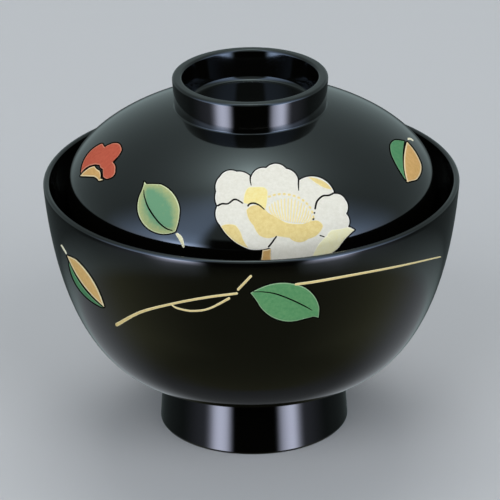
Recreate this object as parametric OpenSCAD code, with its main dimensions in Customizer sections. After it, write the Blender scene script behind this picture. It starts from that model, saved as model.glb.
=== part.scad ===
// Soup bowl with a lid, turned from two blanks of wood and coated with lacquer.
// Everything is round about Z. The origin is the centre of the ring that the bowl stands on.
// Each blank has an outside and an inside outline. The coats lie between an outline and the
// same outline moved into the wood, so wood and lacquer always meet face to face.

/* [Bowl] */
// Outer radius at the rim
rim_r = 60; // [56:0.5:66]
// Height of the rim above the table
rim_h = 76; // [72:0.5:84]
// Thickness of the lip, which is rounded right over
lip_t = 1.8; // [1.5:0.1:2.4]
// Lean of the outer wall from upright just under the rim, in degrees
wall_lean = 4.5; // [2:0.1:8]
// Thickness of the wall under the swell that carries the lid
wall_t = 4.4; // [4:0.1:5]
// Thickness of that swell
seat_t = 5.7; // [5.2:0.1:6.2]
// Depth below the rim over which the wall swells from the lip
mouth_depth = 14; // [12:0.5:18]
// Height over which it thins again below
seat_run = 20; // [16:1:26]
// Thickness of the floor between the hollow of the foot and the inside
floor_t = 5.5; // [4.5:0.1:7]

/* [Foot] */
// Outer radius of the ring foot where it stands
foot_r = 27.5; // [24:0.5:29]
// Height of the foot up to the bowl's underside
foot_h = 16.8; // [15:0.2:18]
// Width of the ring that the bowl stands on
foot_w = 4; // [3.2:0.1:5.5]
// Depth of the hollow inside the foot
foot_hollow = 12; // [10:0.2:13]
// Lean of the foot's outer wall from upright, in degrees
foot_lean = 4; // [0:0.5:8]
// Rounding of the foot's edges
foot_edge = 0.8; // [0.7:0.1:1.2]

/* [Lid] */
// How far inside the bowl's rim the lid's upright edge stands
lid_inset = 6.9; // [5.4:0.1:8.4]
// Height of the upright edge, from its bottom to where the dome starts to turn in
upright_h = 11.6; // [9:0.1:14]
// Height of the dome's crown above the bottom of the edge, where the knob covers it
dome_h = 37.5; // [32:0.1:44]
// How far the dome is drawn out level from its crown, as a share of the lid's radius
crown_pull_share = 0.54; // [0.4:0.01:0.6]
// How far it is drawn upright from the edge, as a share of its rise: more gives a squarer shoulder
side_pull_share = 0.4; // [0.25:0.01:0.6]
// Thickness of the lid's edge, which is rounded right over
edge_t = 2.6; // [2:0.1:3.2]
// Thickness of the dome where it leaves the ceiling
dome_t = 3.8; // [3.2:0.1:4.6]
// Thickness of the lid under the well of its knob
crown_t = 3.6; // [2.8:0.1:5]
// Gap between the lid's edge and the swell that it rests on
seat_gap = 0.3; // [0.2:0.05:0.5]

/* [Knob] */
// Outer radius of the ring knob at its top
knob_r = 22.4; // [20:0.1:25]
// Height of the knob's top above the dome's crown
knob_rise = 6.2; // [5:0.1:7.5]
// Radius of the knob where it stands on the dome, as a share of the radius at its top
knob_root_share = 0.973; // [0.9:0.001:1]
// Thickness of the ring at its top
knob_t = 2.8; // [2.4:0.1:4]
// Depth of the well inside the knob
well_depth = 8.7; // [7:0.1:9.5]
// Lean of the well's wall from upright, in degrees
well_lean = 11; // [6:0.5:14]
// Rounding of the knob's top edges
knob_edge = 0.8; // [0.7:0.1:1.1]

/* [Lacquer] */
// Thickness of the lacquer with its ground coats
coat_t = 0.4; // [0.2:0.05:0.6]

/* [Hidden] */
$fn = 180;

lacquer_black = "#17130f";
wood_colour = "#b98d5c";

// Steps along the wall or the dome, along the floor or the ceiling, and round a small fillet
curve_steps = 36;
floor_steps = 18;
fillet_steps = 6;

// Fillets in the corners
foot_root_round = 1.2;
foot_hollow_round = 2.5;
knob_root_round = 0.5;
knob_well_round = 1.6;

// The underside leaves the foot straight at this lean from level, then swells into the belly
underside_lean = 8;
underside_run = 2.5;
belly_low_pull = 23.5;
belly_high_pull = 20.7;

// How far the floor and the ceiling keep the directions of their ends, as a share of their radius
level_pull_share = 0.4;
// Where the floor takes over from the inner wall, as a share of the wall's steps
floor_join_share = 0.11;
// Where the ceiling takes over from the dome, as a share of the way out from the knob to the edge
ceiling_share = 0.36;

// A unit vector at an angle from +X, in the plane of radius and height
function heading(a) = [cos(a), sin(a)];

// Points on an arc from angle a0 to a1
function arc(c, r, a0, a1, n) = [for (i = [0:n]) c + r * heading(a0 + (a1 - a0) * i / n)];

// Points on a cubic curve from p to s, pulled towards q and r on the way. The longer pull draws the
// curve faster, so the steps are shortened at that end, which spaces the points about evenly.
function curve(p, q, r, s, n) =
    let (
        low = norm(q - p),
        high = norm(s - r),
        ease = (high - low) / (high + low)
    )
    [
        for (i = [0:n])
            let (
                t = i / n * (1 + ease - ease * i / n),
                u = 1 - t
            )
            u * u * u * p + 3 * t * u * u * q + 3 * t * t * u * r + t * t * t * s
    ];

// The direction of the line from a to b
function along(a, b) = (b - a) / norm(b - a);

// The left-hand normal of the line from a to b
function left(a, b) = let (d = along(a, b)) [-d.y, d.x];

// The arc of radius r that rounds the corner b between a and c
function fillet(a, b, c, r) =
    let (
        u = (a - b) / norm(a - b),
        v = (c - b) / norm(c - b),
        half = acos(u * v) / 2,
        middle = b + (u + v) / norm(u + v) * r / sin(half),
        from = b + u * r / tan(half) - middle,
        to = b + v * r / tan(half) - middle,
        a0 = atan2(from.y, from.x),
        turn = atan2(from.x * to.y - from.y * to.x, from * to)
    )
    arc(middle, r, a0, a0 + turn, fillet_steps);

// A path through corners, each rounded by its own radius except the two ends
function rounded(corners, rounds) = [
    corners[0],
    for (i = [1:len(corners) - 2]) each fillet(corners[i - 1], corners[i], corners[i + 1], rounds[i - 1]),
    corners[len(corners) - 1]
];

// A path with each point moved to its left by its own distance. Where level_ends is true the path
// starts and ends level, so its two ends move along Z.
function moved(path, distances, level_ends) =
    let (last = len(path) - 1)
    [
        for (i = [0:last])
            let (
                before = left(path[max(i - 1, 0)], path[max(i, 1)]),
                after = left(path[min(i, last - 1)], path[min(i + 1, last)]),
                side = before + after,
                upright = level_ends && (i == 0 || i == last)
            )
            path[i] + distances[i] * (upright ? [0, sign(side.y)] : side / (1 + before * after))
    ];

// The same distance at every point of a path
function alike(path, d) = [for (p = path) d];

// A path without its first point, and without its first and last, for joining it to others
function tail(path) = [for (i = [1:len(path) - 1]) path[i]];
function middle(path) = [for (i = [1:len(path) - 2]) path[i]];

function reversed(path) = [for (i = [len(path) - 1:-1:0]) path[i]];

// Bowl outlines, from the axis outwards and up to the top of the lip

lip_round = lip_t / 2;
lip_centre = [rim_r - lip_round, rim_h - lip_round];
foot_root = [foot_r - foot_h * tan(foot_lean), foot_h];
underside_start = foot_root + underside_run * heading(underside_lean);
wall_top = lip_centre + lip_round * heading(-wall_lean);

outer_wall = curve(
    underside_start,
    underside_start + belly_low_pull * heading(underside_lean),
    wall_top - belly_high_pull * heading(90 - wall_lean),
    wall_top,
    curve_steps
);

bowl_outside = concat(
    rounded(
        [
            [0, foot_hollow],
            [foot_r - foot_w, foot_hollow],
            [foot_r - foot_w, 0],
            [foot_r, 0],
            foot_root,
            underside_start
        ],
        [foot_hollow_round, foot_edge, foot_edge, foot_root_round]
    ),
    tail(outer_wall),
    tail(arc(lip_centre, lip_round, -wall_lean, 90, fillet_steps))
);

// A share held between 0 and 1 and eased at both ends
function smooth(share) =
    let (s = min(max(share, 0), 1))
    s * s * (3 - 2 * s);

// The wall's thickness at a depth below the rim: the lip's, swelling to the seat's, then the wall's
function wall_t_at(depth) =
    lip_t
    + (seat_t - lip_t) * smooth(depth / mouth_depth)
    + (wall_t - seat_t) * smooth((depth - mouth_depth) / seat_run);

beside_wall = moved(outer_wall, [for (p = outer_wall) wall_t_at(rim_h - p.y)], false);
inner_wall = [for (i = [round(floor_join_share * curve_steps):curve_steps]) beside_wall[i]];
floor_start = [0, foot_hollow + floor_t];
floor_pull = level_pull_share * inner_wall[0].x;

bowl_inside = concat(
    curve(
        floor_start,
        floor_start + [floor_pull, 0],
        inner_wall[0] - floor_pull * along(inner_wall[0], inner_wall[1]),
        inner_wall[0],
        floor_steps
    ),
    middle(inner_wall),
    arc(lip_centre, lip_round, 180 - wall_lean, 90, fillet_steps)
);

// The lid's edge is a full round. Its centre stays on a line that runs beside the bowl's inner wall,
// so the lid's own radius says how deep it sinks before it rests.

lid_r = rim_r - lid_inset;
edge_round = edge_t / 2;
resting_line = moved(inner_wall, alike(inner_wall, edge_round + seat_gap), false);
edge_r = lid_r - edge_round;
edge_centre = [edge_r, lookup(edge_r, resting_line)];
lid_z = edge_centre.y - edge_round;

// Lid outlines, from the axis outwards and down to the bottom of the edge

crown = [0, lid_z + dome_h];
side_top = [lid_r, lid_z + upright_h];
dome = curve(
    crown,
    crown + [crown_pull_share * lid_r, 0],
    side_top + [0, side_pull_share * (crown.y - side_top.y)],
    side_top,
    curve_steps
);

// The knob stands on the dome, and the dome goes on just outside the fillet at the knob's root
knob_top = crown.y + knob_rise;
well_z = knob_top - well_depth;
knob_root_r = knob_root_share * knob_r;
knob_root = [knob_root_r, lookup(knob_root_r, dome)];
outer_dome = [for (p = dome) if (p.x > knob_root_r + 2 * knob_root_round) p];

lid_outside = concat(
    rounded(
        [
            [0, well_z],
            [knob_r - knob_t - well_depth * tan(well_lean), well_z],
            [knob_r - knob_t, knob_top],
            [knob_r, knob_top],
            knob_root,
            outer_dome[0]
        ],
        [knob_well_round, knob_edge, knob_edge, knob_root_round]
    ),
    tail(outer_dome),
    arc(edge_centre, edge_round, 0, -90, fillet_steps)
);

// The inside runs beside the dome, and the lid thins evenly from its ceiling to its edge
ceiling_r = knob_root_r + ceiling_share * (lid_r - knob_root_r);
dome_over_inside = [for (p = dome) if (p.x > ceiling_r) p];
thinning = (dome_t - edge_t) / (len(dome_over_inside) - 1);
inner_dome = moved(dome_over_inside, [for (i = [0:len(dome_over_inside) - 1]) thinning * i - dome_t], false);
ceiling_start = [0, well_z - crown_t];
ceiling_pull = level_pull_share * inner_dome[0].x;

lid_inside = concat(
    curve(
        ceiling_start,
        ceiling_start + [ceiling_pull, 0],
        inner_dome[0] - ceiling_pull * along(inner_dome[0], inner_dome[1]),
        inner_dome[0],
        floor_steps
    ),
    tail(inner_dome),
    arc(edge_centre, edge_round, 180, 270, fillet_steps)
);

// The wood's own outlines lie a coat's thickness inside the finished ones
bowl_wood_outside = moved(bowl_outside, alike(bowl_outside, coat_t), true);
bowl_wood_inside = moved(bowl_inside, alike(bowl_inside, -coat_t), true);
lid_wood_outside = moved(lid_outside, alike(lid_outside, -coat_t), true);
lid_wood_inside = moved(lid_inside, alike(lid_inside, coat_t), true);

// A turned solid between two outlines that start on the axis and end side by side
module turned(one, other) {
    rotate_extrude() polygon(concat(one, reversed(other)));
}

module bowl_core() {
    color(wood_colour) turned(bowl_wood_outside, bowl_wood_inside);
}

module bowl_outer_lacquer() {
    color(lacquer_black) turned(bowl_outside, bowl_wood_outside);
}

module bowl_inner_lacquer() {
    color(lacquer_black) turned(bowl_wood_inside, bowl_inside);
}

module lid_core() {
    color(wood_colour) turned(lid_wood_outside, lid_wood_inside);
}

module lid_outer_lacquer() {
    color(lacquer_black) turned(lid_outside, lid_wood_outside);
}

module lid_inner_lacquer() {
    color(lacquer_black) turned(lid_wood_inside, lid_inside);
}

bowl_core();
bowl_outer_lacquer();
bowl_inner_lacquer();
lid_core();
lid_outer_lacquer();
lid_inner_lacquer();
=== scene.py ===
"""Lacquer soup bowl with its lid, painted with a spray of camellia.

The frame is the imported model: wooden cores under thin coats of lacquer, all turned about Z. Here
the four coats become smooth turned surfaces with a lacquer finish, and the camellia is laid on
them as thin raised patches of silver and gold powder and coloured lacquer.
"""

import math

import bpy
import numpy as np
from mathutils import Matrix, Vector


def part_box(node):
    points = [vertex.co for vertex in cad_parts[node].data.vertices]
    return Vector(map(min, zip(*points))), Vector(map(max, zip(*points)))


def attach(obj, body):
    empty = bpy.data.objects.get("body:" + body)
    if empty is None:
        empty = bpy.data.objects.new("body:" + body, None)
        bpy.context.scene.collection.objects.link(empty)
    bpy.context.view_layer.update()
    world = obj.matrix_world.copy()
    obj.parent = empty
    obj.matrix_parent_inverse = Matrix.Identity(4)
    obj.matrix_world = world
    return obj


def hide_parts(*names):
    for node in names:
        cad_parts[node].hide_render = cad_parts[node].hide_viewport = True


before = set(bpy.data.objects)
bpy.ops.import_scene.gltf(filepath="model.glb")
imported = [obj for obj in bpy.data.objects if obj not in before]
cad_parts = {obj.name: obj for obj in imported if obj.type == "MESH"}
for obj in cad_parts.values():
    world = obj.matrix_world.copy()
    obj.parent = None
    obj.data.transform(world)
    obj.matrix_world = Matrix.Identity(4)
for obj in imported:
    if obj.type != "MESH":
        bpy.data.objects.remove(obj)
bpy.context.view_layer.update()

# Sizes in metres and leans in degrees, as the bowl and its lid are turned

MM = 0.001

RIM_R = 60 * MM
RIM_H = 76 * MM
LIP_T = 1.8 * MM
WALL_LEAN = 4.5
WALL_T = 4.4 * MM
SEAT_T = 5.7 * MM
MOUTH_DEPTH = 14 * MM
SEAT_RUN = 20 * MM
FLOOR_T = 5.5 * MM

FOOT_R = 27.5 * MM
FOOT_H = 16.8 * MM
FOOT_W = 4 * MM
FOOT_HOLLOW = 12 * MM
FOOT_LEAN = 4
FOOT_EDGE = 0.8 * MM
FOOT_ROOT_ROUND = 1.2 * MM
FOOT_HOLLOW_ROUND = 2.5 * MM
UNDERSIDE_LEAN = 8
UNDERSIDE_RUN = 2.5 * MM
BELLY_LOW_PULL = 23.5 * MM
BELLY_HIGH_PULL = 20.7 * MM

LID_INSET = 6.9 * MM
UPRIGHT_H = 11.6 * MM
DOME_H = 37.5 * MM
CROWN_PULL_SHARE = 0.54
SIDE_PULL_SHARE = 0.4
EDGE_T = 2.6 * MM
DOME_T = 3.8 * MM
CROWN_T = 3.6 * MM

KNOB_R = 22.4 * MM
KNOB_RISE = 6.2 * MM
KNOB_ROOT_SHARE = 0.973
KNOB_T = 2.8 * MM
WELL_DEPTH = 8.7 * MM
WELL_LEAN = 11
KNOB_EDGE = 0.8 * MM
KNOB_ROOT_ROUND = 0.5 * MM
KNOB_WELL_ROUND = 1.6 * MM

COAT_T = 0.4 * MM
LEVEL_PULL_SHARE = 0.4
FLOOR_JOIN_SHARE = 0.11
CEILING_SHARE = 0.36

# Steps along a curve, round a fillet and round the axis, and how many of an outline's points a
# coat's hidden side takes: one in so many
CURVE_STEPS = 64
FLOOR_STEPS = 48
FILLET_STEPS = 12
TURN_STEPS = 288
UNDER_STRIDE = 3

# The photograph's frame and camera: how far off it stood, how high it looked down from, and how
# many pixels a millimetre takes at the height that it looked at
PHOTO_SIZE = 500
CAMERA_DISTANCE = 1.4
CAMERA_ELEVATION = 24.07
CAMERA_ROLL = 0.7
PIXELS_PER_MM = 3.4447
LOOK_HEIGHT = 52.82 * MM
AXIS_PIXEL_X = 252.2


def heading(degrees):
    """The unit vector at an angle from the radius, in the plane of radius and height."""
    a = np.radians(degrees)
    return np.stack([np.cos(a), np.sin(a)], -1)


def unit(vector):
    """A vector of length one."""
    return vector / np.linalg.norm(vector)


def arc(centre, radius, start, end):
    """Points centre + radius * heading(angle), with the angle running evenly from start to end."""
    return centre + radius * heading(np.linspace(start, end, FILLET_STEPS + 1))


def curve(p, q, r, s, steps):
    """The cubic u^3 p + 3tu^2 q + 3t^2u r + t^3 s with u = 1 - t, its steps of t shortened towards
    the end with the longer pull, so that the points lie about evenly."""
    low, high = np.linalg.norm(q - p), np.linalg.norm(s - r)
    ease = (high - low) / (high + low)
    i = np.linspace(0, 1, steps + 1)[:, None]
    t = i * (1 + ease - ease * i)
    u = 1 - t
    return u**3 * p + 3 * t * u**2 * q + 3 * t**2 * u * r + t**3 * s


def fillet(a, b, c, radius):
    """The arc of a given radius that rounds the corner b between a and c, tangent to both legs."""
    u, v = unit(a - b), unit(c - b)
    half = math.acos(np.clip(u @ v, -1, 1)) / 2
    middle = b + unit(u + v) * radius / math.sin(half)
    start = b + u * radius / math.tan(half) - middle
    end = b + v * radius / math.tan(half) - middle
    a0 = math.degrees(math.atan2(start[1], start[0]))
    turn = math.degrees(math.atan2(start[0] * end[1] - start[1] * end[0], start @ end))
    return arc(middle, radius, a0, a0 + turn)


def rounded(corners, radii):
    """A path through corners, each rounded by its own radius except the two ends."""
    corners = [np.array(c, float) for c in corners]
    bends = [fillet(*corners[i : i + 3], radius) for i, radius in enumerate(radii)]
    return np.vstack([corners[:1], *bends, corners[-1:]])


def moved(path, distance, level_ends):
    """A path moved to its left: each point goes along the mitre of its two lines' normals. Where
    level_ends is true the path starts and ends level, so its ends move along Z."""
    step = np.diff(path, axis=0)
    normal = np.stack([-step[:, 1], step[:, 0]], 1) / np.linalg.norm(step, axis=1)[:, None]
    before, after = np.vstack([normal[:1], normal]), np.vstack([normal, normal[-1:]])
    side = (before + after) / (1 + (before * after).sum(1))[:, None]
    if level_ends:
        side[[0, -1]] = np.stack([np.zeros(2), np.sign(side[[0, -1], 1])], 1)
    return path + np.broadcast_to(distance, len(path))[:, None] * side


def smooth(share):
    """A share held between 0 and 1 and eased at both ends: 3s^2 - 2s^3."""
    share = np.clip(share, 0, 1)
    return share**2 * (3 - 2 * share)


def bowl_outlines():
    """The bowl's outside and inside, from the axis outwards and up to the top of the lip, then
    its outer wall alone."""
    lip = LIP_T / 2
    lip_centre = np.array([RIM_R - lip, RIM_H - lip])
    foot_root = np.array([FOOT_R - FOOT_H * math.tan(math.radians(FOOT_LEAN)), FOOT_H])
    start = foot_root + UNDERSIDE_RUN * heading(UNDERSIDE_LEAN)
    wall_top = lip_centre + lip * heading(-WALL_LEAN)
    wall = curve(
        start,
        start + BELLY_LOW_PULL * heading(UNDERSIDE_LEAN),
        wall_top - BELLY_HIGH_PULL * heading(90 - WALL_LEAN),
        wall_top,
        CURVE_STEPS,
    )
    foot_in = FOOT_R - FOOT_W
    foot = rounded(
        [(0, FOOT_HOLLOW), (foot_in, FOOT_HOLLOW), (foot_in, 0), (FOOT_R, 0), foot_root, start],
        [FOOT_HOLLOW_ROUND, FOOT_EDGE, FOOT_EDGE, FOOT_ROOT_ROUND],
    )
    outside = np.vstack([foot, wall[1:], arc(lip_centre, lip, -WALL_LEAN, 90)[1:]])

    depth = RIM_H - wall[:, 1]
    thickness = LIP_T + (SEAT_T - LIP_T) * smooth(depth / MOUTH_DEPTH)
    thickness += (WALL_T - SEAT_T) * smooth((depth - MOUTH_DEPTH) / SEAT_RUN)
    inner_wall = moved(wall, thickness, False)[round(FLOOR_JOIN_SHARE * CURVE_STEPS) :]
    centre = np.array([0, FOOT_HOLLOW + FLOOR_T])
    pull = LEVEL_PULL_SHARE * inner_wall[0, 0]
    floor = curve(
        centre,
        centre + pull * heading(0),
        inner_wall[0] - pull * unit(inner_wall[1] - inner_wall[0]),
        inner_wall[0],
        FLOOR_STEPS,
    )
    lip_inside = arc(lip_centre, lip, 180 - WALL_LEAN, 90)
    return outside, np.vstack([floor, inner_wall[1:-1], lip_inside]), wall


def lid_outlines(lid_z):
    """The lid's outside and inside, from the axis outwards and down to the bottom of the edge,
    then its outside without the knob. The edge is a full round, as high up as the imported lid's."""
    edge = EDGE_T / 2
    lid_r = RIM_R - LID_INSET
    edge_centre = np.array([lid_r - edge, lid_z + edge])
    crown = np.array([0, lid_z + DOME_H])
    side = np.array([lid_r, lid_z + UPRIGHT_H])
    side_pull = np.array([0, SIDE_PULL_SHARE * (crown[1] - side[1])])
    whole = curve(crown, crown + (CROWN_PULL_SHARE * lid_r, 0), side + side_pull, side, CURVE_STEPS)

    knob_top = crown[1] + KNOB_RISE
    well_z = knob_top - WELL_DEPTH
    well_r = KNOB_R - KNOB_T - WELL_DEPTH * math.tan(math.radians(WELL_LEAN))
    root_r = KNOB_ROOT_SHARE * KNOB_R
    root = (root_r, np.interp(root_r, whole[:, 0], whole[:, 1]))
    dome = whole[whole[:, 0] > root_r + 2 * KNOB_ROOT_ROUND]
    knob = rounded(
        [(0, well_z), (well_r, well_z), (KNOB_R - KNOB_T, knob_top), (KNOB_R, knob_top), root, dome[0]],
        [KNOB_WELL_ROUND, KNOB_EDGE, KNOB_EDGE, KNOB_ROOT_ROUND],
    )
    dome = np.vstack([dome, arc(edge_centre, edge, 0, -90)])
    outside = np.vstack([knob, dome[1:]])

    over = whole[whole[:, 0] > root_r + CEILING_SHARE * (lid_r - root_r)]
    inner = moved(over, -np.linspace(DOME_T, EDGE_T, len(over)), False)
    centre = np.array([0, well_z - CROWN_T])
    pull = LEVEL_PULL_SHARE * inner[0, 0]
    ceiling = curve(
        centre,
        centre + pull * heading(0),
        inner[0] - pull * unit(inner[1] - inner[0]),
        inner[0],
        FLOOR_STEPS,
    )
    inside = np.vstack([ceiling, inner[1:], arc(edge_centre, edge, 180, 270)])
    return outside, inside, dome


def mesh_piece(name, points, faces, uv=None):
    """An object at the origin with its place in its mesh, smooth shaded, with an optional UV map
    that holds one pair per vertex."""
    mesh = bpy.data.meshes.new(name)
    mesh.from_pydata(points.tolist(), [], faces)
    if uv is not None:
        corner = np.zeros(len(mesh.loops), np.int32)
        mesh.loops.foreach_get("vertex_index", corner)
        layer = mesh.uv_layers.new(name="across")
        layer.data.foreach_set("uv", uv[corner].astype(np.float32).ravel())
    mesh.polygons.foreach_set("use_smooth", np.ones(len(mesh.polygons), bool))
    mesh.update()
    piece = bpy.data.objects.new(name, mesh)
    bpy.context.scene.collection.objects.link(piece)
    return piece


def closed_tube(rings, start, end, uv=None):
    """The vertices and faces of rings of points, one after the other, closed at both ends with a
    point. The faces are turned over if they enclose a negative volume."""
    count, around = rings.shape[:2]
    points = np.vstack([[start], rings.reshape(-1, 3), [end]])
    here = 1 + np.arange(count)[:, None] * around + np.arange(around)
    there = np.roll(here, -1, axis=1)
    quads = np.stack([here[:-1], here[1:], there[1:], there[:-1]], -1).reshape(-1, 4)
    cap_a = np.stack([np.zeros(around, int), here[0], there[0]], 1)
    cap_b = np.stack([np.full(around, len(points) - 1), there[-1], here[-1]], 1)
    a, b, c, d = points[quads.T] - points.mean(0)
    volume = np.sum(np.cross(b - a, c - a) * a) + np.sum(np.cross(c - a, d - a) * a)
    faces = quads.tolist() + cap_a.tolist() + cap_b.tolist()
    if volume < 0:
        faces = [face[::-1] for face in faces]
    return points, faces, uv


def turned(name, outline):
    """The surface that an outline, from the axis and back to it, sweeps as it turns about Z: each
    point (r, z) becomes the ring (r cos a, r sin a, z), and the two ends stay single points."""
    a = np.linspace(0, 2 * np.pi, TURN_STEPS, endpoint=False)
    r, z = outline[1:-1, :1], outline[1:-1, 1:]
    rings = np.stack([r * np.cos(a), r * np.sin(a), z + np.zeros_like(a)], -1)
    return mesh_piece(name, *closed_tube(rings, (0, 0, outline[0, 1]), (0, 0, outline[-1, 1])))


def coat(name, outline, side):
    """A coat of lacquer between a finished outline and the same outline moved into the wood, which
    needs fewer points."""
    under = moved(outline, side * COAT_T, True)
    under = np.vstack([under[::UNDER_STRIDE], under[-1:]])
    return turned(name, np.vstack([outline, under[::-1]]))


BOWL_OUTSIDE, BOWL_INSIDE, BOWL_WALL = bowl_outlines()
LID_OUTSIDE, LID_INSIDE, LID_DOME = lid_outlines(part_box("lid_outer_lacquer")[0][2])


# The lacquer's polish: the range of its roughness, and its faint ripple's strength and depth, with
# the scale of the noise of each. Then the scale of the wood's rings
POLISH = (0.05, 0.1)
POLISH_SCALE = 60
RIPPLE = (0.04, 0.4 * MM)
RIPPLE_SCALE = 90
RING_SCALE = 90


def principled(name, colour, roughness, **sockets):
    """A material with its Principled shader's constants set on the shader's own sockets."""
    material = bpy.data.materials.new(name)
    material.use_nodes = True
    shader = material.node_tree.nodes["Principled BSDF"]
    shader.inputs["Base Color"].default_value = (*colour, 1)
    shader.inputs["Roughness"].default_value = roughness
    for socket, value in sockets.items():
        shader.inputs[socket.replace("_", " ")].default_value = value
    return material, material.node_tree, shader


def shader_node(tree, kind, inputs, **settings):
    """A shader node with its settings made and its inputs set or, where the value is another
    node's output, linked."""
    made = tree.nodes.new("ShaderNode" + kind)
    for name, value in settings.items():
        setattr(made, name, value)
    for socket, value in inputs.items():
        if isinstance(value, bpy.types.NodeSocket):
            tree.links.new(value, made.inputs[socket])
        else:
            made.inputs[socket].default_value = value
    return made


def noise(tree, scale, detail=2, roughness=0.5):
    """A noise texture on Object coordinates."""
    place = shader_node(tree, "TexCoord", {}).outputs["Object"]
    inputs = {"Vector": place, "Scale": scale, "Detail": detail, "Roughness": roughness}
    return shader_node(tree, "TexNoise", inputs).outputs["Fac"]


def ranged(tree, value, low, high):
    """A value from 0 to 1 turned into one from low to high."""
    inputs = {"Value": value, "To Min": low, "To Max": high}
    return shader_node(tree, "MapRange", inputs).outputs["Result"]


def share_between(tree, value, low, high):
    """How far a value has come from low to high, as a share held between 0 and 1."""
    inputs = {"Value": value, "From Min": low, "From Max": high}
    return shader_node(tree, "MapRange", inputs).outputs["Result"]


def two_colours(tree, value, low, high, places=(0, 1)):
    """A colour that runs from low to high as a value goes from the first place to the second."""
    ramp = shader_node(tree, "ValToRGB", {"Fac": value})
    for stop, place, colour in zip(ramp.color_ramp.elements, places, (low, high)):
        stop.position = place
        stop.color = (*colour, 1)
    return ramp.outputs["Color"]


def uneven(tree, shader, height, strength, depth):
    """Roughens a finish's surface by a height from 0 to 1 that stands for a depth in metres."""
    bump = shader_node(tree, "Bump", {"Height": height, "Strength": strength, "Distance": depth})
    tree.links.new(bump.outputs["Normal"], shader.inputs["Normal"])


def black_lacquer():
    """Polished black lacquer: a clear gloss, its sharpness and surface a little uneven from the
    polishing."""
    material, tree, shader = principled("black_lacquer", (0.0015, 0.0015, 0.0012), 0.1, IOR=1.36)
    tree.links.new(ranged(tree, noise(tree, POLISH_SCALE, 3), *POLISH), shader.inputs["Roughness"])
    uneven(tree, shader, noise(tree, RIPPLE_SCALE), *RIPPLE)
    return material


def bare_wood():
    """Turned wood: growth rings as bands across X, broken by fine noise."""
    material, tree, shader = principled("wood", (0.5, 0.33, 0.18), 0.6)
    place = shader_node(tree, "TexCoord", {}).outputs["Object"]
    inputs = {"Vector": place, "Scale": RING_SCALE, "Distortion": 3, "Detail": 3}
    rings = shader_node(tree, "TexWave", inputs).outputs["Fac"]
    colour = two_colours(tree, rings, (0.42, 0.27, 0.14), (0.58, 0.4, 0.23))
    tree.links.new(colour, shader.inputs["Base Color"])
    return material


def dress(piece, material, body):
    """Gives a piece its finish and sets it on the body that carries it."""
    piece.data.materials.append(material)
    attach(piece, body)


LACQUER = black_lacquer()
WOOD = bare_wood()

for node in ("bowl_core", "lid_core"):
    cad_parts[node].data.materials.clear()
    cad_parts[node].data.materials.append(WOOD)

COATS = [
    ("bowl_outer_coat", BOWL_OUTSIDE, 1, "bowl", "bowl_outer_lacquer"),
    ("bowl_inner_coat", BOWL_INSIDE, -1, "bowl", "bowl_inner_lacquer"),
    ("lid_outer_coat", LID_OUTSIDE, -1, "lid", "lid_outer_lacquer"),
    ("lid_inner_coat", LID_INSIDE, 1, "lid", "lid_inner_lacquer"),
]
for name, outline, side, body, node in COATS:
    piece = coat(name, outline, side)
    dress(piece, LACQUER, body)
    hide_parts(node)

# Where the photograph's camera stood: it places the painted spray and takes the picture


def camera_turn():
    """The camera's turn as a 3 by 3 array, its columns right, up and back: it looks along +Y and
    down by the elevation, then rolls about its own axis."""
    e, roll = math.radians(CAMERA_ELEVATION), math.radians(CAMERA_ROLL)
    right = np.array([1, 0, 0])
    up = np.array([0, math.sin(e), math.cos(e)])
    back = np.array([0, -math.cos(e), math.sin(e)])
    c, s = math.cos(roll), math.sin(roll)
    return np.stack([c * right - s * up, s * right + c * up, back], 1)


CAMERA_TURN = camera_turn()
CAMERA_AT = np.array([0, 0, LOOK_HEIGHT]) + CAMERA_DISTANCE * CAMERA_TURN[:, 2]
FOCAL_PIXELS = PIXELS_PER_MM / MM * CAMERA_DISTANCE


# The painted spray

# Heights over the lacquer: a thin ground of matt black, the powders and colours on it, what is
# painted over those, and how deep each patch's underside lies in the lacquer
GROUND_H = 0.03 * MM
POWDER_H = 0.09 * MM
OVER_H = 0.12 * MM
LINE_H = 0.14 * MM
SINK = 0.05 * MM

# The ground's width round what it carries, the step along a painted edge, and how a patch rises
# from its edge: how far in, in pixels, and at what share of its height. Inside that come rings
# shrunk about a centre, or even shares of the way across. NARROW holds the rise to these shares of
# a patch's width. Then the u of a ringed patch's middle, and the fewest columns between two edges
GROUND_W = 1.3
EDGE_STEP = 0.6
RISE = [(0, 0.3), (0.25, 0.8), (0.7, 1), (1.4, 1)]
INNER_RINGS = [0.85, 0.7, 0.55, 0.4, 0.25, 0.1]
INNER_SHARES = np.linspace(0, 1, 9)[1:-1]
NARROW = [0, 0.1, 0.2, 0.3]
CORE_INSET = 11.4
LEAST_COLUMNS = 8

# How far before and behind the axis a sight line is searched, in how many steps, and how often the
# step that meets the lacquer is halved
SEARCH_DEPTH = 80 * MM
SEARCH_STEPS = 241
HALVINGS = 18


def polar(outline, pole):
    """An outline seen from a pole, a height on the axis, by rising angle: rows of the angle, the
    distance and the two parts of the normal."""
    arm = outline - (0, pole)
    along = np.gradient(outline, axis=0)
    normal = np.stack([along[:, 1], -along[:, 0]], 1) / np.linalg.norm(along, axis=1)[:, None]
    normal *= np.sign((normal * arm).sum(1))[:, None]
    rows = np.column_stack([np.arctan2(arm[:, 1], arm[:, 0]), np.hypot(arm[:, 0], arm[:, 1]), normal])
    return rows[np.argsort(rows[:, 0])].T


POLES = {"lid": LID_DOME[-1, 1], "bowl": BOWL_WALL[:, 1].mean()}
PAINTED = {"lid": polar(LID_DOME, POLES["lid"]), "bowl": polar(BOWL_WALL, POLES["bowl"])}


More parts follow.
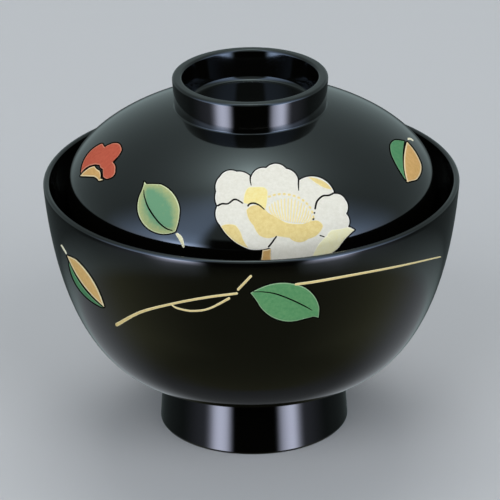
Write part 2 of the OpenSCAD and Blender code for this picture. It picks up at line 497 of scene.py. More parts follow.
def settle(pixels, height, body):
    """The places over a body's lacquer, at a height, that pixels of the photograph show. Each
    sight line is followed until it is nearer to the pole than the outline is at that angle, then
    halved in on, and the place found is raised along the outline's normal."""
    angles, reach, normal_r, normal_z = PAINTED[body]
    across = np.stack([pixels[..., 0] - AXIS_PIXEL_X, PHOTO_SIZE / 2 - pixels[..., 1]], -1)
    line = across @ CAMERA_TURN[:, :2].T - FOCAL_PIXELS * CAMERA_TURN[:, 2]
    line /= np.linalg.norm(line, axis=-1, keepdims=True)

    def look(distance):
        """Whether the place at a distance along each line lies clear of the body, that place, and
        its angle from the pole."""
        place = CAMERA_AT + distance[..., None] * line
        r, z = np.hypot(place[..., 0], place[..., 1]), place[..., 2] - POLES[body]
        angle = np.arctan2(z, r)
        return np.hypot(r, z) > np.interp(angle, angles, reach), place, angle

    steps = CAMERA_DISTANCE + np.linspace(-SEARCH_DEPTH, SEARCH_DEPTH, SEARCH_STEPS)
    clear = np.stack([look(np.full(line.shape[:-1], s))[0] for s in steps])
    far = steps[np.argmin(clear, axis=0)]
    near = far - (steps[1] - steps[0])
    for _ in range(HALVINGS):
        free, place, angle = look((near + far) / 2)
        near, far = np.where(free, (near + far) / 2, near), np.where(free, far, (near + far) / 2)
    turn = np.arctan2(place[..., 1], place[..., 0])
    out = np.interp(angle, angles, normal_r)
    normal = np.stack([out * np.cos(turn), out * np.sin(turn), np.interp(angle, angles, normal_z)], -1)
    return place + np.broadcast_to(height, turn.shape)[..., None] * normal


def bend(start, end, bulge):
    """An arc from start towards end that rises bulge times its chord to the left of the way, as
    seen in the photograph: half the arc's angle is twice the arc tangent of twice the bulge."""
    chord = np.subtract(end, start)
    u = np.linspace(-1, 1, max(3, int(np.hypot(*chord) / EDGE_STEP)), endpoint=False)[:, None]
    half = 2 * math.atan(2 * bulge) or 1e-6
    along = (np.sin(u * half) / math.sin(half) + 1) / 2
    rise = (np.cos(u * half) - math.cos(half)) / math.sin(half) / 2
    return start + along * chord + rise * np.array([chord[1], -chord[0]])


def edge(points):
    """A line through points (x, y, bulge), each stretch an arc with its first point's bulge."""
    stretches = [bend(p[:2], q[:2], p[2]) for p, q in zip(points[:-1], points[1:])]
    return np.vstack([*stretches, [points[-1][:2]]])


def resampled(path, count):
    """A path as a number of points at even lengths."""
    length = np.concatenate([[0], np.cumsum(np.hypot(*np.diff(path, axis=0).T))])
    at = np.linspace(0, length[-1], count)
    return np.stack([np.interp(at, length, column) for column in path.T], 1)


def path_normals(path):
    """Unit normals to the left of a path, as seen in the photograph."""
    along = np.gradient(path, axis=0)
    return np.stack([along[:, 1], -along[:, 0]], 1) / np.linalg.norm(along, axis=1)[:, None]


def spread(centre, outline, height, body):
    """A patch about a centre: its rings are the outline drawn in by the steps of RISE, then that
    last ring shrunk, and its underside is the outline again. Its u is how far in a ring lies."""
    arm = outline - centre
    length = np.linalg.norm(arm, axis=1, keepdims=True)
    rings = [(centre + arm * (1 - inset / length), share, inset) for inset, share in RISE]
    last = rings[-1][0] - centre
    rings += [(centre + last * shrink, 1, CORE_INSET) for shrink in INNER_RINGS]
    rings = rings[::-1]
    flat = np.stack([ring for ring, _, _ in rings] + [outline])
    heights = np.array([height * share for _, share, _ in rings] + [-SINK])[:, None]
    insets = np.array([inset for _, _, inset in rings] + [0])
    ends = settle(np.array([centre, centre], float), np.array([height, -SINK]), body)
    u = np.concatenate([[CORE_INSET], np.repeat(insets, len(outline)), [0]])
    return closed_tube(settle(flat, heights, body), *ends, np.stack([u, np.zeros_like(u)], 1))


def between(edge_a, edge_b, height, body):
    """A patch ruled between two edges that share their ends: each row runs from one edge to the
    other and back underneath. Its u is how far in a column lies, and its v how far along."""
    count = max(LEAST_COLUMNS, len(edge_a), len(edge_b))
    a, b = resampled(edge_a, count), resampled(edge_b, count)
    width = np.linalg.norm(b - a, axis=1)[1:-1, None]
    near = np.minimum(np.array([inset for inset, _ in RISE]) / np.maximum(width, 1e-6), NARROW)
    inner = near[:, -1:] + (1 - 2 * near[:, -1:]) * INNER_SHARES
    across = np.hstack([near, inner, 1 - near[:, ::-1]])
    share = np.array([share for _, share in RISE])
    heights = height * np.concatenate([share, np.ones_like(INNER_SHARES), share[::-1]])
    top = a[1:-1, None] + across[..., None] * (b - a)[1:-1, None]
    flat = np.concatenate([top, b[1:-1, None], a[1:-1, None]], axis=1)
    rings = settle(flat, np.concatenate([heights, [-SINK, -SINK]])[None, :], body)
    ends = settle(a[[0, -1]], 0, body)
    inset = np.pad(np.minimum(across, 1 - across) * width, ((0, 0), (0, 2)))
    along = np.repeat(np.linspace(0, 1, count)[1:-1, None], flat.shape[1], axis=1)
    uv = np.stack([np.concatenate([[0], inset.ravel(), [0]]), np.concatenate([[0], along.ravel(), [1]])], 1)
    return closed_tube(rings, *ends, uv)


def grown(edge_a, edge_b, height, body):
    """The ground under a patch between two edges: both edges moved outwards, and their ends on."""
    def out(path, side):
        """One edge moved outwards by the ground's width, between the two tips moved on by it."""
        path = path + side * GROUND_W * path_normals(path)
        tip_a = edge_a[0] - GROUND_W * unit(edge_a[3] - edge_a[0])
        tip_b = edge_a[-1] - GROUND_W * unit(edge_a[-4] - edge_a[-1])
        return np.vstack([[tip_a], path, [tip_b]])
    return between(out(edge_a, 1), out(edge_b, -1), height, body)


def swept(centre, outline):
    """The outline, about a centre, of all that a disc of the ground's width covers as its middle
    runs along another outline."""
    arm = outline - centre
    turn = np.linspace(0, 2 * np.pi, len(outline), endpoint=False)
    ray = np.stack([np.cos(turn), np.sin(turn)], 1)
    along = ray @ arm.T
    across = ray[:, :1] * arm[:, 1] - ray[:, 1:] * arm[:, 0]
    reach = np.where(np.abs(across) < GROUND_W, along + np.sqrt(np.maximum(GROUND_W**2 - across**2, 0)), 0)
    return centre + reach.max(axis=1, keepdims=True) * ray


def stroke(points, height, body):
    """A brush stroke along points (x, y, width): cubics through them, whose slope at each point is
    half the way from the point before to the one after, with rounded ends."""
    points = np.array(points, float)
    ahead = np.vstack([2 * points[0] - points[1], points, 2 * points[-1] - points[-2]])
    spans = []
    for p, q, r, s in zip(ahead[:-3], ahead[1:-2], ahead[2:-1], ahead[3:]):
        t = np.linspace(0, 1, max(4, int(np.hypot(*(r - q)[:2]) / EDGE_STEP)), endpoint=False)[:, None]
        spans.append(q + t / 2 * (r - p + t * (2 * p - 5 * q + 4 * r - s + t * (3 * q - p - 3 * r + s))))
    line = np.vstack([*spans, points[-1:]])
    length = np.concatenate([[0], np.cumsum(np.hypot(*np.diff(line[:, :2], axis=0).T))])
    half = line[:, 2] / 2
    end = np.clip(np.minimum(length, length[-1] - length) / half, 0, 1)
    side = (half * np.sqrt(1 - (1 - end) ** 2))[:, None] * path_normals(line[:, :2])
    return between(line[:, :2] + side, line[:, :2] - side, height, body)


def joined(patches):
    """Several patches as one set of vertices and faces."""
    first = np.cumsum([0] + [len(points) for points, _, _ in patches])
    faces = [[i + n for i in face] for n, (_, some, _) in zip(first, patches) for face in some]
    return np.vstack([p for p, _, _ in patches]), faces, np.vstack([uv for _, _, uv in patches])


def painted(name, patches, material, body):
    """A piece of the spray: its patches as one mesh."""
    dress(mesh_piece(name, *joined(patches)), material, body)


# Outlines in the photograph's pixels, clockwise: x, y and the bulge of the stretch that follows

BLOSSOM_CENTRE = np.array([283, 217])
BLOSSOM = edge([
    (217.5, 206, 0.11), (216.3, 191.6, 0.15), (220.2, 176.7, 0.2), (236.5, 171.8, 0.12),
    (250.4, 176.6, 0), (251.4, 177, 0.2), (266.2, 168.2, 0.236), (286, 168.9, 0.17),
    (298, 180.4, 0), (299.4, 180.2, 0.24), (333.6, 191.6, 0), (334.4, 194.2, 0.17),
    (344.8, 199.3, 0.167), (346, 213.8, 0.17), (348, 226.8, 0.05), (354.6, 230, -0.04),
    (338.5, 248, 0.05), (318, 260, 0.05), (296, 263.5, 0.02), (271.3, 263, 0),
    (271, 248.6, 0), (268.4, 248, 0.06), (250, 249.5, 0.098), (219.8, 224.8, 0.16), (217.5, 206, 0),
])
SADDLE_CENTRE = np.array([285, 230])
SADDLE = edge([
    (246.2, 210, 0.29), (266, 211.6, 0), (285, 222, -0.07), (310, 222.6, 0.28), (323.2, 226, 0.15),
    (308.5, 238.8, 0.21), (289.5, 238, 0.02), (276.5, 236, 0.15), (258.8, 235.2, 0.05),
    (253.2, 225.5, 0.1), (246.2, 210, 0),
])
LEFT_PATCH_CENTRE = np.array([234, 233])
LEFT_PATCH = edge([
    (220.9, 226, 0.1), (235.5, 225, 0.08), (242.6, 238, -0.03), (248.6, 248.2, 0.1), (220.9, 226, 0),
])
CRESCENT_CENTRE = np.array([319, 181.8])
CRESCENT = edge([(308.3, 177.4, 0.13), (332.4, 189.9, 0.06), (318, 184.8, 0.02), (308.3, 177.4, 0)])
PALE_CENTRE = np.array([255, 196])
PALE = edge([
    (243.4, 203, 0.06), (246, 190.2, 0.16), (251.5, 187.1, 0.02), (263, 187.1, 0.2),
    (267.8, 193.5, 0.03), (265.6, 209.5, 0), (255, 203.2, 0), (248, 204.6, 0), (243.4, 203, 0),
])
PALE_TIP_CENTRE = np.array([333, 240])
PALE_TIP = edge([
    (326.5, 236, 0.1), (332, 229.8, -0.02), (347.6, 227.2, 0.03), (354.2, 230, -0.04),
    (338.3, 248, 0.05), (318, 259.6, 0.02), (311.5, 259, 0.08), (326.5, 236, 0),
])
STUB_CENTRE = np.array([266.5, 256])
STUB = edge([(262.6, 250.2, 0), (270.8, 248.8, 0), (271.2, 263, 0), (260.8, 263, 0), (262.6, 250.2, 0)])

# Strokes in the photograph's pixels: x, y and width
PETAL_LINES = [
    [(250.6, 175, 2.08), (250.2, 180.5, 1.43), (251.4, 186, 1.04)],
    [(298.6, 178.5, 2.08), (298.4, 185, 1.69), (298.7, 191.2, 0.91)],
    [
        (334.4, 192.8, 2.08), (329, 195.4, 1.95), (322.5, 196.2, 2.08), (317, 201.5, 2.21),
        (314.8, 209.8, 1.95),
    ],
    [(314.8, 212, 2.08), (314, 214, 2.08)],
    [(314, 217.8, 2.08), (312.7, 220.4, 2.08)],
    [(217, 206.2, 2.21), (222, 203.9, 1.95), (228, 203.8, 1.82), (235, 199.5, 1.95), (243.4, 203.6, 1.43)],
    [(247.4, 206.8, 2.08), (249.6, 204.1, 1.95), (254, 203.2, 1.95), (259.5, 205.5, 1.82), (264.8, 210, 1.3)],
    [(276.8, 235.8, 1.69), (272, 242.5, 1.82), (268, 247.5, 2.08)],
    [(319.3, 235.2, 1.3), (324.8, 237, 1.3)],
]
STAMEN_TOPS = edge([(269, 206, 0.3), (311.5, 217, 0)])
STAMEN_FEET = edge([(275.5, 217.5, -0.07), (308, 223, 0)])
STAMEN_COUNT = 16
STAMEN_W = 1.5
STAMEN_SWAY = 1.5
ANTHERS = edge([(269.5, 196.6, 0.08), (292, 195.5, 0.1), (310.5, 208.5, 0.05), (313.3, 217, 0)])
ANTHER_COUNT = 12
ANTHER_SIZE = (3.8, 2.8)

# Leaves, bud and calyx: the edge on the left of the way from one tip to the other, then the right

LID_LEAF = (
    edge([
        (144.4, 181.6, 0), (146.4, 184.3, 0.02), (161, 184.6, 0.14), (179.7, 210, 0.04),
        (175.4, 231.4, 0),
    ]),
    edge([
        (144.4, 181.6, 0.03), (141.3, 192, -0.055), (137.6, 206, -0.266), (173.4, 232.4, 0),
        (175.4, 231.4, 0),
    ]),
)
LID_LEAF_RIB = [
    (143.9, 189.6, 0.8), (144.6, 197, 1.4), (149, 208.6, 1.9), (158, 221.4, 1.8), (166, 228.3, 1.7),
    (173, 230.8, 0.9),
]
LID_LEAF_STEM = [(176, 233.2, 2.6), (180.6, 238.6, 4.2), (184, 248, 1.8)]

BUD = (
    edge([
        (81.2, 173, 0.145), (101.2, 144, 0.3), (103.2, 145.3, 0), (105, 147.6, 0.08), (110, 144.6, 0.08),
        (116.4, 143.2, 0.2), (121, 147.4, 0.15), (121, 151.4, 0.03), (117, 157.6, -0.15),
        (112.8, 162.6, 0.15), (115.2, 169.6, 0.2), (109.2, 178.2, 0),
    ]),
    edge([
        (81.2, 173, 0.08), (90, 165.6, 0.02), (95.5, 164.4, 0), (99.7, 165, 0), (100.4, 167.6, 0),
        (102.8, 169.2, 0), (103.2, 176.6, -0.2), (109.2, 178.2, 0),
    ]),
)
CALYX = (
    edge([
        (80.4, 176.2, 0.06), (86.6, 169.8, 0.08), (94.6, 166.3, -0.1), (99.4, 170.7, 0.1),
        (100.1, 178.6, 0), (103, 179.6, 0),
    ]),
    edge([(80.4, 176.2, 0), (93.6, 176.7, 0.1), (98.6, 180.7, -0.1), (103, 179.6, 0)]),
)

SIDE_LEAF_GREEN = (
    edge([
        (405.6, 179.8, 0.02), (392.5, 157, 0.05), (390.3, 147, 0.2), (396, 140.2, 0.03),
        (404.2, 141.4, 0),
    ]),
    edge([(405.6, 179.8, 0.06), (404.2, 141.4, 0)]),
)
SIDE_LEAF_GOLD = (
    edge([(407.3, 182.2, 0.08), (406.9, 141.9, 0)]),
    edge([
        (407.3, 182.2, 0.02), (414, 180.4, -0.1), (417.6, 178.5, -0.15), (419.6, 160.5, -0.05),
        (406.9, 141.9, 0),
    ]),
)
SIDE_LEAF_STEM = [(407.4, 139, 2.8), (410.5, 139, 1.7), (413.6, 141, 1)]

BOWL_LEAF_GOLD = (
    edge([(67.2, 255.6, 0.02), (76, 259.4, 0.07), (104.4, 307, 0)]),
    edge([(67.2, 255.6, -0.065), (104.4, 307, 0)]),
)
BOWL_LEAF_GREEN = (
    edge([(69.2, 262.3, -0.07), (103.2, 307.4, 0)]),
    edge([(69.2, 262.3, -0.14), (103.2, 307.4, 0)]),
)
BOWL_LEAF_STEM = [(61, 244.6, 1.5), (64, 249.4, 1.6), (66.7, 254.2, 1.2)]

FRONT_LEAF = (
    edge([(250.4, 293, 0.02), (263, 286.8, 0.1), (303, 286.7, 0.125), (319.2, 308, 0.02), (318.4, 317.6, 0)]),
    edge([(250.4, 293, 0.03), (260, 306.5, -0.16), (300, 319.8, 0), (313, 316.5, 0.05), (318.4, 317.6, 0)]),
)
FRONT_LEAF_RIB = [
    (253, 291.6, 0.7), (264, 291.8, 1.1), (276, 293.8, 1.5), (290, 299, 1.7), (304, 305.6, 1.5),
    (312.5, 310.4, 0.7),
]
FRONT_STEM = [(294.6, 284.6, 2.4), (318, 281.2, 2.6), (360, 273.6, 2.3), (400, 265.9, 1.9), (441, 256.6, 1.3)]

TWIG = [
    [(115.5, 325.4, 3.8), (140, 312.4, 2.9), (170, 304.3, 2.4), (204, 297.8, 2.4), (238, 293.3, 2.3)],
    [(171.5, 305, 1.2), (178, 308.4, 1.8), (192, 310.9, 1.9), (209, 308.6, 2), (230.2, 297.8, 2.5)],
    [(237.2, 290.4, 2.5), (251.8, 275.2, 2.6)],
]


# How powder is sprinkled: the scales of its grain and tooth, and the tooth's strength and depth.
# MOTTLE is where in the grain the shade gives way to the colour, and where a rim gives way is a
# pair of shares of its width. In a shaded leaf the grain counts less, and a lift that grows from
# the edge inwards is added to it. Then the scale and range of the matt ground's roughness
GRAIN_SCALE = 900
TOOTH_SCALE = 2500
TOOTH = (0.25, 0.05 * MM)
MOTTLE = (0.35, 0.65)
RIM_FADE_SHARES = (0.7, 1.3)
SHADED_GRAIN_SHARE = 0.35
SHADED_LIFT = (0.15, 0.5)
GROUND_TOOTH_SCALE = 1500
GROUND_ROUGHNESS = (0.85, 0.95)


def powder(name, colour, shade, rim, rim_w, roughness, shading=None):
    """Sprinkled powder or colour, mottled between a colour and its shade, with a rim of its own
    colour along its edges: the UV map's u holds how far in a place lies. Shading gives the two
    distances in from the edge between which the shade gives way to the colour."""
    material, tree, shader = principled(name, colour, roughness, Specular_IOR_Level=0)
    across = shader_node(tree, "UVMap", {}, uv_map="across").outputs["UV"]
    inward = shader_node(tree, "SeparateXYZ", {"Vector": across}).outputs["X"]
    grain = noise(tree, GRAIN_SCALE, 4, 0.7)
    if shading:
        lift = ranged(tree, share_between(tree, inward, *shading), *SHADED_LIFT)
        inputs = {0: grain, 1: SHADED_GRAIN_SHARE, 2: lift}
        grain = shader_node(tree, "Math", inputs, operation="MULTIPLY_ADD").outputs[0]
    mottled = two_colours(tree, grain, shade, colour, MOTTLE)
    fade = share_between(tree, inward, *(rim_w * share for share in RIM_FADE_SHARES))
    inputs = {"Factor": fade, "A": (*rim, 1), "B": mottled}
    mix = shader_node(tree, "Mix", inputs, data_type="RGBA")
    tree.links.new(mix.outputs["Result"], shader.inputs["Base Color"])
    uneven(tree, shader, noise(tree, TOOTH_SCALE, 3), *TOOTH)
    return material


def matt_black():
    """Matt black ground, with a faint tooth."""
    colour = (0.003, 0.0028, 0.0025)
    material, tree, shader = principled("matt_black", colour, 0.9, Specular_IOR_Level=0)
    tooth = ranged(tree, noise(tree, GROUND_TOOTH_SCALE), *GROUND_ROUGHNESS)
    tree.links.new(tooth, shader.inputs["Roughness"])
    return material


SILVER = powder("silver_powder", (0.89, 0.88, 0.8), (0.81, 0.8, 0.71), (0.95, 0.95, 0.9), 0.9, 0.5)
GOLD = powder("gold_powder", (0.9, 0.75, 0.35), (0.82, 0.65, 0.27), (0.95, 0.83, 0.45), 0.8, 0.45)
PALE_GOLD = powder("pale_gold_powder", (0.98, 0.88, 0.43), (0.94, 0.8, 0.33), (0.98, 0.9, 0.5), 0.8, 0.45)
CREAM = powder("cream_powder", (0.97, 0.96, 0.68), (0.95, 0.92, 0.58), (0.98, 0.96, 0.74), 0.8, 0.45)
LEAF_GREEN = powder("leaf_green", (0.11, 0.33, 0.14), (0.16, 0.39, 0.17), (0.37, 0.58, 0.34), 0.9, 0.5)
DEEP_GREEN = powder("deep_green", (0.08, 0.28, 0.13), (0.12, 0.31, 0.15), (0.17, 0.38, 0.2), 0.6, 0.5)
PALE_GREEN = powder("pale_green", (0.17, 0.37, 0.22), (0.44, 0.5, 0.24), (0.72, 0.8, 0.5), 1.1, 0.5, (2, 12))
VERMILION = powder("vermilion", (0.6, 0.14, 0.085), (0.52, 0.105, 0.065), (0.7, 0.27, 0.18), 1, 0.5)
TAN_GOLD = powder("tan_gold", (0.75, 0.47, 0.19), (0.65, 0.4, 0.145), (0.88, 0.72, 0.44), 1.2, 0.45)
# The bowl leaf's tan gold is the lid's tan gold painted lighter: painted light, making up for the dimmer
# light that falls on the bowl's wall
LIT_BOWL_TAN = powder("bowl_tan_gold_painted_light", (0.88, 0.58, 0.23), (0.78, 0.5, 0.19), (0.97, 0.84, 0.52), 1.2, 0.45)
# The gold of the bowl's stem and twig is painted lighter than the lid's gold: painted light, making up for
# the dimmer light that falls on the bowl's wall
LIT_LINE_GOLD = powder("line_gold_painted_light", (0.97, 0.78, 0.36), (0.86, 0.66, 0.28), (0.98, 0.87, 0.52), 0.5, 0.45)
MATT_BLACK = matt_black()


def stamens():
    """Fine filaments that fan up from the gold, and the anthers in an arc over them."""
    tops, feet = resampled(STAMEN_TOPS, STAMEN_COUNT), resampled(STAMEN_FEET, STAMEN_COUNT)
    sway = STAMEN_SWAY * np.linspace(-1, 1, STAMEN_COUNT)[:, None] * np.array([1, 0])
    lines = [
        stroke([(*top, STAMEN_W), (*(top + foot) / 2 + bow, STAMEN_W), (*foot, STAMEN_W)], LINE_H, "lid")
        for top, foot, bow in zip(tops, feet, sway)
    ]
    long, wide = ANTHER_SIZE
    heads = resampled(ANTHERS, ANTHER_COUNT)
    lean = np.gradient(heads, axis=0)
    lean /= np.linalg.norm(lean, axis=1, keepdims=True)
    dots = [
        stroke([(*head - way * long / 2, wide), (*head + way * long / 2, wide)], LINE_H, "lid")
        for head, way in zip(heads, lean)
    ]
    return lines + dots


def leaf_and_ground(name, edges, material, body):
    """A patch between two edges, and the matt ground round it."""
    painted(name + "_ground", [grown(*edges, GROUND_H, body)], MATT_BLACK, body)
    painted(name, [between(*edges, POWDER_H, body)], material, body)


GROUND = spread(BLOSSOM_CENTRE, swept(BLOSSOM_CENTRE, BLOSSOM), GROUND_H, "lid")
painted("blossom_ground", [GROUND], MATT_BLACK, "lid")
painted("blossom_petals", [spread(BLOSSOM_CENTRE, BLOSSOM, POWDER_H, "lid")], SILVER, "lid")
GOLD_PATCHES = [
    spread(SADDLE_CENTRE, SADDLE, OVER_H, "lid"),
    spread(LEFT_PATCH_CENTRE, LEFT_PATCH, OVER_H, "lid"),
    spread(CRESCENT_CENTRE, CRESCENT, OVER_H, "lid"),
]
painted("blossom_gold", GOLD_PATCHES, GOLD, "lid")
painted("blossom_pale_gold", [spread(PALE_CENTRE, PALE, OVER_H, "lid")], PALE_GOLD, "lid")
painted("blossom_cream", [spread(PALE_TIP_CENTRE, PALE_TIP, OVER_H, "lid")], CREAM, "lid")
painted("blossom_stub", [spread(STUB_CENTRE, STUB, POWDER_H, "lid")], TAN_GOLD, "lid")
PETAL_STROKES = [stroke(line, LINE_H, "lid") for line in PETAL_LINES]
painted("blossom_lines", PETAL_STROKES, MATT_BLACK, "lid")
painted("blossom_stamens", stamens(), GOLD, "lid")

leaf_and_ground("lid_leaf", LID_LEAF, PALE_GREEN, "lid")
painted("lid_leaf_rib", [stroke(LID_LEAF_RIB, LINE_H, "lid")], MATT_BLACK, "lid")
painted("lid_leaf_stem", [stroke(LID_LEAF_STEM, POWDER_H, "lid")], CREAM, "lid")
leaf_and_ground("bud", BUD, VERMILION, "lid")
leaf_and_ground("bud_calyx", CALYX, TAN_GOLD, "lid")
leaf_and_ground("side_leaf_green", SIDE_LEAF_GREEN, DEEP_GREEN, "lid")
leaf_and_ground("side_leaf_gold", SIDE_LEAF_GOLD, TAN_GOLD, "lid")
painted("side_leaf_stem", [stroke(SIDE_LEAF_STEM, POWDER_H, "lid")], CREAM, "lid")

leaf_and_ground("bowl_leaf_gold", BOWL_LEAF_GOLD, LIT_BOWL_TAN, "bowl")
leaf_and_ground("bowl_leaf_green", BOWL_LEAF_GREEN, DEEP_GREEN, "bowl")
painted("bowl_leaf_stem", [stroke(BOWL_LEAF_STEM, POWDER_H, "bowl")], CREAM, "bowl")
leaf_and_ground("front_leaf", FRONT_LEAF, LEAF_GREEN, "bowl")
painted("front_leaf_rib", [stroke(FRONT_LEAF_RIB, LINE_H, "bowl")], MATT_BLACK, "bowl")
painted("front_stem", [stroke(FRONT_STEM, OVER_H, "bowl")], LIT_LINE_GOLD, "bowl")
painted("twig", [stroke(line, POWDER_H, "bowl") for line in TWIG], LIT_LINE_GOLD, "bowl")

# Camera, floor and light

# The background that is seen, the even light from all round, the floor, the lamps, and the globe
# that carries what gloss sees, with the step between its rows in degrees
BACKGROUND = (0.51, 0.54, 0.57)
EVEN_COLOUR = (0.92, 0.97, 1)
EVEN_LIGHT = 0.3
FLOOR_HALF = 3
LAMP_DISTANCE = 3
LAMP_SIZE = 1.7
STUDIO_R = 5
STUDIO_STEP = 2.5

# What gloss sees, as radiances, colours and angles in degrees. A pair of angles is where something
# starts to change and where it has changed: sideways from the camera's side if its name ends in
# OFF, or else upwards from level. The low glow's two middles and its width are sideways too. The
# ceiling is brightest behind the bowl, at CEILING_CENTRE upwards, and falls off all round that
PANEL_L = 5.5
PANEL_OFF = (26, 36)
PANEL_FADE_OFF = (40, 102)
PANEL_BOTTOM = (-33.5, -27)
PANEL_ELEVATIONS = [5, 20, 35, 65, 90]
PANEL_FALL = [1, 0.8, 0.58, 0.45, 0.2]
PANEL_LOW_COLOUR = (0.95, 1, 1.27)
PANEL_HIGH_COLOUR = (0.73, 1, 1.5)
PANEL_COLOUR_TURN = (-25, 10)

LOW_L = 10.5
LOW_LEFT, LOW_RIGHT, LOW_W = 42, 47, 20
LOW_BOTTOM = (-32, -24)
LOW_TOP = (-7, 11)

CARD_OFF = (24, 29)
CARD_TOP = (20, 28)
GAP_DARK = 0.85
GAP_BOTTOM = (-33, -27)
GAP_TOP = (-14, -6)
GAP_SIDE_OFF = (48, 66)

ROOM_ELEVATIONS = [0, 10, 30, 60, 90]
ROOM_RISE = [0.95, 1, 1, 1.05, 1.1]
ROOM_COLOUR = (0.43, 0.54, 0.55)
ROOM_SIDE_GAIN = 0.3
ROOM_SIDE_OFF = (100, 150)
CEILING_L = 20
CEILING_CENTRE = 80
CEILING_SPREAD = 9

FLOOR_GLOW = 0.45
FLOOR_TOP = (-34.5, -31.5)
FLOOR_DARK = 0.6
FLOOR_DARK_OFF = (20, 110)
FLOOR_DARK_BOTTOM = (-64, -42)
FLOOR_COLOUR = (1, 1.03, 0.62)
FLOOR_BEHIND = (0.95, 1.03, 1.1)
FLOOR_BEHIND_OFF = (80, 130)


def make_camera():
    """The photograph's camera, with the small shift that puts the bowl's axis where it was."""
    data = bpy.data.cameras.new("camera")
    data.sensor_width = 36
    data.lens = FOCAL_PIXELS / PHOTO_SIZE * data.sensor_width
    data.shift_x = (PHOTO_SIZE / 2 - AXIS_PIXEL_X) / PHOTO_SIZE
    data.clip_start = 0.05
    camera = bpy.data.objects.new("camera", data)
    camera.matrix_world = Matrix.Translation(Vector(CAMERA_AT)) @ Matrix(CAMERA_TURN).to_4x4()
    bpy.context.scene.collection.objects.link(camera)
    bpy.context.scene.camera = camera


def paper():
    """Pale grey studio paper."""
    return principled("paper", (0.57, 0.585, 0.605), 0.9, Specular_IOR_Level=0.2)[0]


def make_floor():
    """A level sheet of paper that the bowl stands on, far larger than the view."""
    corners = FLOOR_HALF * np.array([(-1, -1, 0), (1, -1, 0), (1, 1, 0), (-1, 1, 0)])
    floor = mesh_piece("floor", corners, [(0, 1, 2, 3)])
    floor.data.materials.append(paper())
    floor.visible_glossy = False


def soft_lamp(name, azimuth, elevation, radiance):
    """A square soft box that faces the bowl from an azimuth off the camera's side and an
    elevation. Gloss doesn't see it."""
    a, e = math.radians(azimuth), math.radians(elevation)
    at = LAMP_DISTANCE * Vector((math.sin(a) * math.cos(e), -math.cos(a) * math.cos(e), math.sin(e)))
    data = bpy.data.lights.new(name, "AREA")
    data.shape = "SQUARE"
    data.size = LAMP_SIZE
    data.energy = radiance * math.pi * LAMP_SIZE**2
    lamp = bpy.data.objects.new(name, data)
    turn = (Vector((0, 0, LOOK_HEIGHT)) - at).to_track_quat("-Z", "Y").to_matrix().to_4x4()
    lamp.matrix_world = Matrix.Translation(at) @ turn
    lamp.visible_glossy = False
    bpy.context.scene.collection.objects.link(lamp)


def make_world():
    """Even light from all round. The camera, and what mirrors, sees a pale background instead."""
    world = bpy.data.worlds.new("studio")
    bpy.context.scene.world = world
    world.use_nodes = True
    tree = world.node_tree
    even = tree.nodes["Background"]
    even.inputs["Color"].default_value = (*EVEN_COLOUR, 1)
    even.inputs["Strength"].default_value = EVEN_LIGHT
    pale = shader_node(tree, "Background", {"Color": (*BACKGROUND, 1)})
    path = shader_node(tree, "LightPath", {}).outputs
    seen = path["Is Camera Ray"]
    for ray in ("Is Glossy Ray", "Is Transmission Ray"):
        seen = shader_node(tree, "Math", {0: seen, 1: path[ray]}, operation="MAXIMUM").outputs[0]
    mix = shader_node(tree, "MixShader", {0: seen, 1: even.outputs[0], 2: pale.outputs[0]})
    tree.links.new(mix.outputs[0], tree.nodes["World Output"].inputs["Surface"])


def rising(value, start, end):
    """How far a value has come from start to end, eased at both ends by smooth."""
    return smooth((value - start) / (end - start))


def blended(first, second, share):
    """Rows of colour, each its share of the way from the first colour to the second."""
    return first + share[:, None] * np.subtract(second, first)


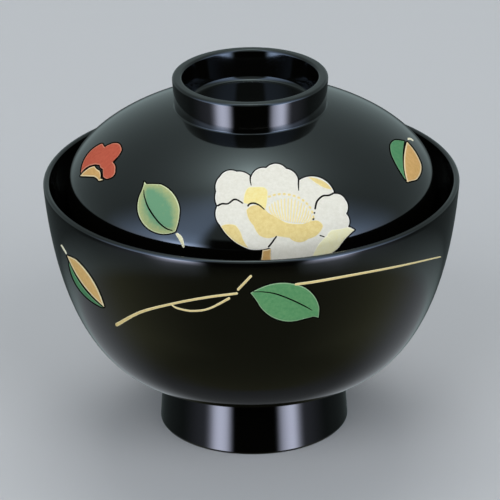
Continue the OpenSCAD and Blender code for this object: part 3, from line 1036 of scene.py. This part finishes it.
def studio_glow(azimuth, elevation):
    """The radiance that gloss finds in a direction, as rows of red, green and blue. Angles are in
    degrees, the azimuth from the camera's side. A pale room brightens towards its ceiling. Tall
    panels stand each side of the camera, brightest at the bottom and fading outwards. A dark card
    fills the space between them. Under all that lie a dark gap and the dim floor."""
    off = np.abs(azimuth)
    card = (1 - rising(off, *CARD_OFF)) * (1 - rising(elevation, *CARD_TOP))
    dark = GAP_DARK * (1 - rising(elevation, *GAP_TOP))

    wide = PANEL_L * rising(off, *PANEL_OFF) * (1 - rising(off, *PANEL_FADE_OFF))
    wide *= np.interp(elevation, PANEL_ELEVATIONS, PANEL_FALL)
    low = LOW_L * smooth(1 - np.abs(off - np.where(azimuth < 0, LOW_LEFT, LOW_RIGHT)) / LOW_W)
    low *= rising(elevation, *LOW_BOTTOM) * (1 - rising(elevation, *LOW_TOP))
    panels = (wide + low) * rising(elevation, *PANEL_BOTTOM) * (1 - card)
    panels *= 1 - dark * rising(off, *GAP_SIDE_OFF)
    panel_colour = blended(PANEL_LOW_COLOUR, PANEL_HIGH_COLOUR, rising(elevation, *PANEL_COLOUR_TURN))

    room = np.interp(elevation, ROOM_ELEVATIONS, ROOM_RISE) * (1 - dark * rising(elevation, *GAP_BOTTOM))
    room *= 1 + ROOM_SIDE_GAIN * (1 - rising(off, *ROOM_SIDE_OFF))
    e, a, centre = np.radians(elevation), np.radians(azimuth), math.radians(CEILING_CENTRE)
    towards = np.sin(e) * math.sin(centre) - np.cos(e) * np.cos(a) * math.cos(centre)
    aside = np.degrees(np.arccos(np.clip(towards, -1, 1)))
    room += CEILING_L * np.exp(-aside / CEILING_SPREAD)

    above = rising(elevation, *FLOOR_TOP)
    lit = np.minimum(rising(off, *FLOOR_DARK_OFF), rising(elevation, *FLOOR_DARK_BOTTOM))
    floor = FLOOR_GLOW * (1 - FLOOR_DARK * (1 - lit)) * (1 - above)
    floor_colour = blended(FLOOR_COLOUR, FLOOR_BEHIND, rising(off, *FLOOR_BEHIND_OFF))
    room_glow = (room * above * (1 - card))[:, None] * np.array(ROOM_COLOUR)
    return panels[:, None] * panel_colour + room_glow + floor[:, None] * floor_colour


def studio_mirror():
    """A globe round the studio that only gloss sees: its vertices carry the glow."""
    around, upwards = np.arange(-180, 180, STUDIO_STEP), np.arange(STUDIO_STEP - 90, 90, STUDIO_STEP)
    azimuth, elevation = np.meshgrid(around, upwards)
    a, e = np.radians(azimuth), np.radians(elevation)
    ring = np.stack([np.sin(a) * np.cos(e), -np.cos(a) * np.cos(e), np.sin(e)], -1)
    points, faces, _ = closed_tube(STUDIO_R * ring, (0, 0, -STUDIO_R), (0, 0, STUDIO_R))
    glow = np.ones((len(points), 4))
    glow[1:-1, :3] = studio_glow(azimuth.ravel(), elevation.ravel())
    glow[[0, -1], :3] = studio_glow(np.zeros(2), np.array([-90, 90]))
    globe = mesh_piece("studio_mirror", points, faces)
    layer = globe.data.color_attributes.new("glow", "FLOAT_COLOR", "POINT")
    layer.data.foreach_set("color", glow.astype(np.float32).ravel())
    material = bpy.data.materials.new("studio_glow")
    material.use_nodes = True
    tree = material.node_tree
    tree.nodes.remove(tree.nodes["Principled BSDF"])
    read = shader_node(tree, "Attribute", {}, attribute_name="glow")
    shine = shader_node(tree, "Emission", {"Color": read.outputs["Color"]})
    tree.links.new(shine.outputs["Emission"], tree.nodes["Material Output"].inputs["Surface"])
    globe.data.materials.append(material)
    globe.visible_camera = globe.visible_diffuse = globe.visible_shadow = False
    globe.visible_transmission = globe.visible_volume_scatter = False


bpy.context.scene.view_settings.view_transform = "Standard"
make_camera()
make_floor()
make_world()
studio_mirror()
soft_lamp("overhead", 180, 70, 2.9)
soft_lamp("front_left", -30, 40, 2.8)
soft_lamp("front_right", 34, 40, 2.8)
